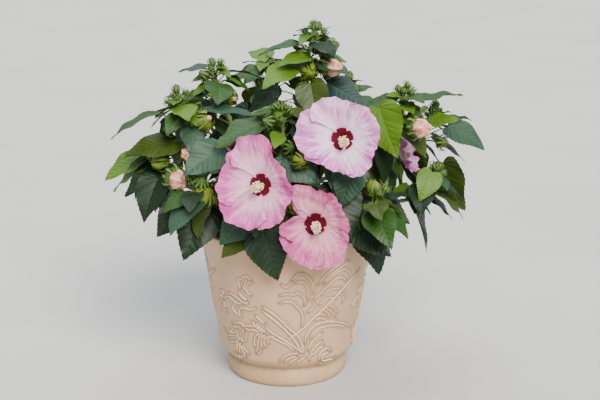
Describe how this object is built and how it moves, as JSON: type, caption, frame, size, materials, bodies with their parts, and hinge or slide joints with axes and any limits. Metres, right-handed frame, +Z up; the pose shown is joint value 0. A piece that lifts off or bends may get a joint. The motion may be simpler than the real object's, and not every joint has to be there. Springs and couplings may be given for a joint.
{
  "type": "potted hibiscus shrub",
  "caption": "Hardy hibiscus shrub in flower, with broad pink blooms, buds and heart-shaped leaves on upright canes, in a tapered round pot with scroll relief.",
  "frame": {"origin": "centre of the pot's flat underside", "axes": "+Z up, the front of the plant (the side with the group of open blooms) faces -Y, +X to its right"},
  "size_m": [0.7921, 0.5975, 0.7503],
  "materials": {
    "pot": "matte cream, pinkish tan wash in the relief",
    "soil": "rough, dark potting soil",
    "stem": "rough woody base",
    "cane": "satin green bark",
    "leaf": "satin leaf",
    "bud": "satin green bud and calyx",
    "petal": "soft pale pink, deeper at the margins, crimson eye",
    "column": "cream column with pollen grains"
  },
  "bodies": {
    "root": {"pot": "pot", "soil": "soil", "stem": "stem", "bough_01": "cane", "foliage_01": "leaf", "bough_02": "cane", "foliage_02": "leaf", "bough_03": "cane", "foliage_03": "leaf", "bough_04": "cane", "foliage_04": "leaf", "bough_05": "cane", "foliage_05": "leaf", "bough_06": "cane", "foliage_06": "leaf", "bough_07": "cane", "foliage_07": "leaf", "bough_08": "cane", "foliage_08": "leaf", "bough_09": "cane", "foliage_09": "leaf", "bough_10": "cane", "foliage_10": "leaf", "bough_11": "cane", "foliage_11": "leaf", "bough_12": "cane", "foliage_12": "leaf", "bough_13": "cane", "foliage_13": "leaf", "bough_14": "cane", "foliage_14": "leaf", "bough_15": "cane", "foliage_15": "leaf", "bough_16": "cane", "foliage_16": "leaf", "bough_17": "cane", "foliage_17": "leaf", "bough_18": "cane", "foliage_18": "leaf", "bloom_1": "petal", "bloom_2": "petal", "bloom_3": "petal", "bloom_4": "petal", "bloom_5": "petal", "bloom_6": "petal"}
  },
  "joints": []
}
